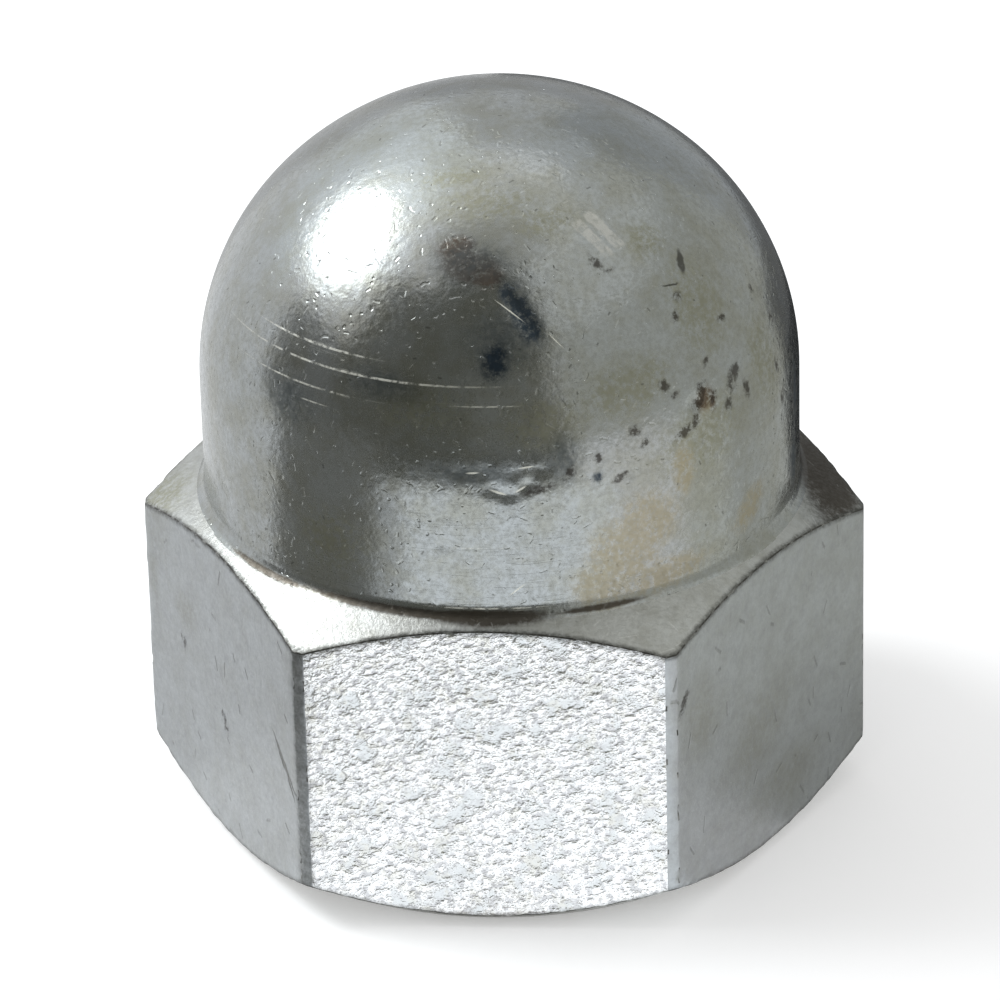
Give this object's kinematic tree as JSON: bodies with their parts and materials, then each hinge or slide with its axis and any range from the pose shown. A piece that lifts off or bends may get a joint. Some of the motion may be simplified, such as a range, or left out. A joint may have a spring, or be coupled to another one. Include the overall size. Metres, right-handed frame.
{
  "type": "cap nut",
  "caption": "Domed cap nut: a chamfered hexagon with a turned neck and a round closed crown over a blind threaded hole.",
  "frame": {"origin": "centre of the bearing face, on the thread's axis", "axes": "+Z along the thread's axis from the bearing face to the top of the crown; one flat of the hexagon faces -Y and two corners lie on X"},
  "size_m": [0.0274, 0.024, 0.0284],
  "materials": {
    "zinc_plated_steel": "bright zinc plate over turned steel, satin to semi-bright, with light scratches, small pits and faint yellow-brown stains"
  },
  "bodies": {
    "root": {"cap_nut": "zinc_plated_steel"}
  },
  "joints": []
}
